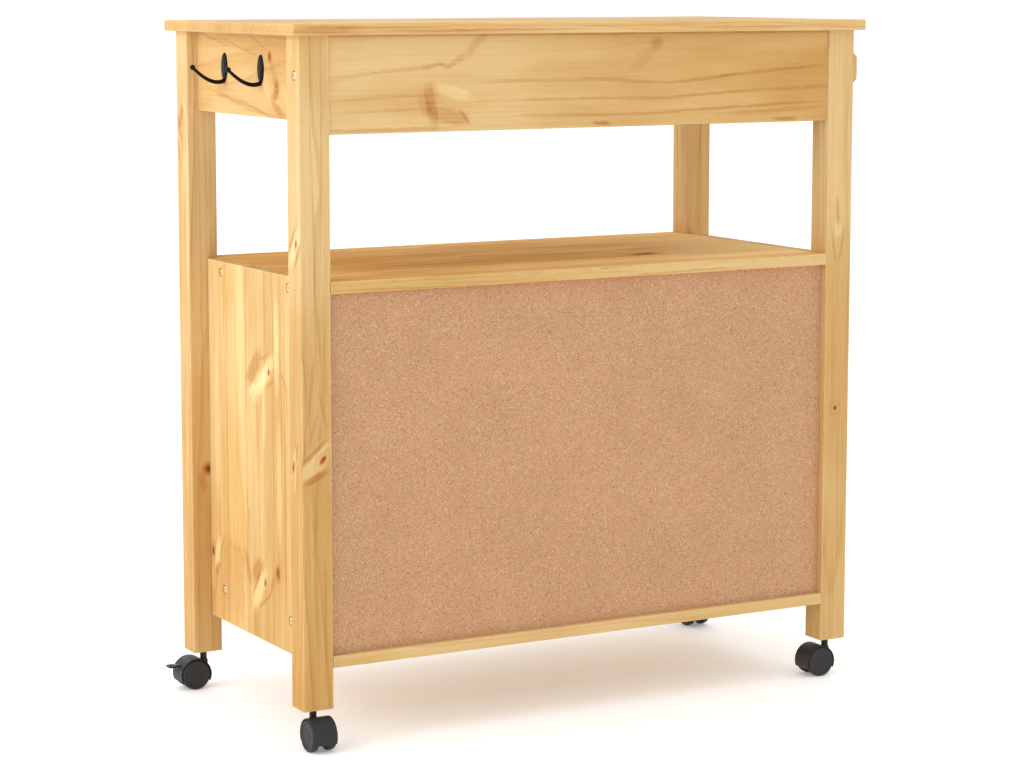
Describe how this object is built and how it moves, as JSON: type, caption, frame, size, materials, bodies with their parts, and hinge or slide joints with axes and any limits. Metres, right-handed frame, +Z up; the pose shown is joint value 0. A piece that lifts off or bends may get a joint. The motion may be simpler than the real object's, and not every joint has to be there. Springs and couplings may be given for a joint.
{
  "type": "kitchen island cart",
  "caption": "Pine kitchen island cart on swivel casters, with drawers over an open bay, a cabinet with doors, coat-style hooks and a towel bar at its ends.",
  "frame": {"origin": "on the floor under the centre of the worktop", "axes": "+X to the user's right (hook side), +Y to the back, +Z up"},
  "size_m": [0.903, 0.4235, 0.892],
  "materials": {
    "pine": "satin waxed knotty pine",
    "beech": "plain turned beech",
    "particleboard": "matt brown fine-chip board",
    "hardboard": "matt brown hardboard",
    "zinc_steel": "bright zinc plated",
    "black_enamel": "gloss black",
    "blackened_steel": "satin black",
    "catch_plastic": "brown moulded plastic",
    "hood_plastic": "satin black moulded plastic",
    "wheel_plastic": "satin black moulded plastic"
  },
  "bodies": {
    "frame": {"back_panel": "particleboard", "barrel_nuts": "zinc_steel", "bottom_rails": "pine", "cabinet_floor": "pine", "caster_sockets": "zinc_steel", "door_catches": "catch_plastic", "dowels": "beech", "drawer_divider": "pine", "drawer_post": "pine", "drawer_rail": "pine", "drawer_runners": "pine", "frame_bolts": "zinc_steel", "hinge_leaves": "blackened_steel", "hook_front": "black_enamel", "hook_rear": "black_enamel", "leg_front_left": "pine", "leg_front_right": "pine", "leg_rear_left": "pine", "leg_rear_right": "pine", "rear_apron": "pine", "screws": "zinc_steel", "shelf": "pine", "side_apron_left": "pine", "side_apron_right": "pine", "side_panel_left": "pine", "side_panel_right": "pine", "towel_bar": "pine", "towel_brackets": "pine", "worktop": "pine", "worktop_brackets": "zinc_steel"},
    "drawer_right": {"drawer_right_bottom": "hardboard", "drawer_right_box": "pine", "drawer_right_front": "pine", "drawer_right_knob": "black_enamel"},
    "door_right": {"door_right_frame": "pine", "door_right_hardware": "blackened_steel", "door_right_knob": "black_enamel", "door_right_panel": "pine"},
    "drawer_left": {"drawer_left_bottom": "hardboard", "drawer_left_box": "pine", "drawer_left_front": "pine", "drawer_left_knob": "black_enamel"},
    "door_left": {"door_left_frame": "pine", "door_left_hardware": "blackened_steel", "door_left_knob": "black_enamel", "door_left_panel": "pine"},
    "caster_front_right": {"caster_front_right_swivel": "hood_plastic"},
    "caster_front_right_wheel_a": {"caster_front_right_wheel_a": "wheel_plastic"},
    "caster_front_right_wheel_b": {"caster_front_right_wheel_b": "wheel_plastic"},
    "caster_front_right_lever": {"caster_front_right_lever": "hood_plastic"},
    "caster_rear_right": {"caster_rear_right_swivel": "hood_plastic"},
    "caster_rear_right_wheel_a": {"caster_rear_right_wheel_a": "wheel_plastic"},
    "caster_rear_right_wheel_b": {"caster_rear_right_wheel_b": "wheel_plastic"},
    "caster_rear_left": {"caster_rear_left_swivel": "hood_plastic"},
    "caster_rear_left_wheel_a": {"caster_rear_left_wheel_a": "wheel_plastic"},
    "caster_rear_left_wheel_b": {"caster_rear_left_wheel_b": "wheel_plastic"},
    "caster_front_left": {"caster_front_left_swivel": "hood_plastic"},
    "caster_front_left_wheel_a": {"caster_front_left_wheel_a": "wheel_plastic"},
    "caster_front_left_wheel_b": {"caster_front_left_wheel_b": "wheel_plastic"},
    "caster_front_left_lever": {"caster_front_left_lever": "hood_plastic"}
  },
  "joints": [
    {"name": "drawer_right_slide", "type": "slide", "parent": "frame", "child": "drawer_right", "axis": [0, -1, 0], "range_m": [0, 0.24]},
    {"name": "door_right_hinge", "type": "hinge", "parent": "frame", "child": "door_right", "pos_m": [0.3665, -0.1935, 0.341], "axis": [0, 0, 1], "range_deg": [0, 110]},
    {"name": "drawer_left_slide", "type": "slide", "parent": "frame", "child": "drawer_left", "axis": [0, -1, 0], "range_m": [0, 0.24]},
    {"name": "door_left_hinge", "type": "hinge", "parent": "frame", "child": "door_left", "pos_m": [-0.3665, -0.1935, 0.341], "axis": [0, 0, -1], "range_deg": [0, 110]},
    {"name": "caster_front_right_swivel", "type": "hinge", "parent": "frame", "child": "caster_front_right", "pos_m": [0.3875, -0.1725, 0.05], "axis": [0, 0, 1], "continuous": true},
    {"name": "caster_front_right_wheel_a_spin", "type": "hinge", "parent": "caster_front_right", "child": "caster_front_right_wheel_a", "pos_m": [0.404, -0.1725, 0.02], "axis": [0, 1, 0], "continuous": true},
    {"name": "caster_front_right_wheel_b_spin", "type": "hinge", "parent": "caster_front_right", "child": "caster_front_right_wheel_b", "pos_m": [0.404, -0.1725, 0.02], "axis": [0, 1, 0], "continuous": true},
    {"name": "caster_front_right_brake", "type": "hinge", "parent": "caster_front_right", "child": "caster_front_right_lever", "pos_m": [0.4175, -0.1725, 0.0325], "axis": [0, 1, 0], "range_deg": [0, 12]},
    {"name": "caster_rear_right_swivel", "type": "hinge", "parent": "frame", "child": "caster_rear_right", "pos_m": [0.3875, 0.1725, 0.05], "axis": [0, 0, 1], "continuous": true},
    {"name": "caster_rear_right_wheel_a_spin", "type": "hinge", "parent": "caster_rear_right", "child": "caster_rear_right_wheel_a", "pos_m": [0.3875, 0.189, 0.02], "axis": [-1, 0, 0], "continuous": true},
    {"name": "caster_rear_right_wheel_b_spin", "type": "hinge", "parent": "caster_rear_right", "child": "caster_rear_right_wheel_b", "pos_m": [0.3875, 0.189, 0.02], "axis": [-1, 0, 0], "continuous": true},
    {"name": "caster_rear_left_swivel", "type": "hinge", "parent": "frame", "child": "caster_rear_left", "pos_m": [-0.3875, 0.1725, 0.05], "axis": [0, 0, 1], "continuous": true},
    {"name": "caster_rear_left_wheel_a_spin", "type": "hinge", "parent": "caster_rear_left", "child": "caster_rear_left_wheel_a", "pos_m": [-0.371, 0.1725, 0.02], "axis": [0, 1, 0], "continuous": true},
    {"name": "caster_rear_left_wheel_b_spin", "type": "hinge", "parent": "caster_rear_left", "child": "caster_rear_left_wheel_b", "pos_m": [-0.371, 0.1725, 0.02], "axis": [0, 1, 0], "continuous": true},
    {"name": "caster_front_left_swivel", "type": "hinge", "parent": "frame", "child": "caster_front_left", "pos_m": [-0.3875, -0.1725, 0.05], "axis": [0, 0, 1], "continuous": true},
    {"name": "caster_front_left_wheel_a_spin", "type": "hinge", "parent": "caster_front_left", "child": "caster_front_left_wheel_a", "pos_m": [-0.3875, -0.156, 0.02], "axis": [-1, 0, 0], "continuous": true},
    {"name": "caster_front_left_wheel_b_spin", "type": "hinge", "parent": "caster_front_left", "child": "caster_front_left_wheel_b", "pos_m": [-0.3875, -0.156, 0.02], "axis": [-1, 0, 0], "continuous": true},
    {"name": "caster_front_left_brake", "type": "hinge", "parent": "caster_front_left", "child": "caster_front_left_lever", "pos_m": [-0.3875, -0.1425, 0.0325], "axis": [-1, 0, 0], "range_deg": [0, 12]}
  ]
}
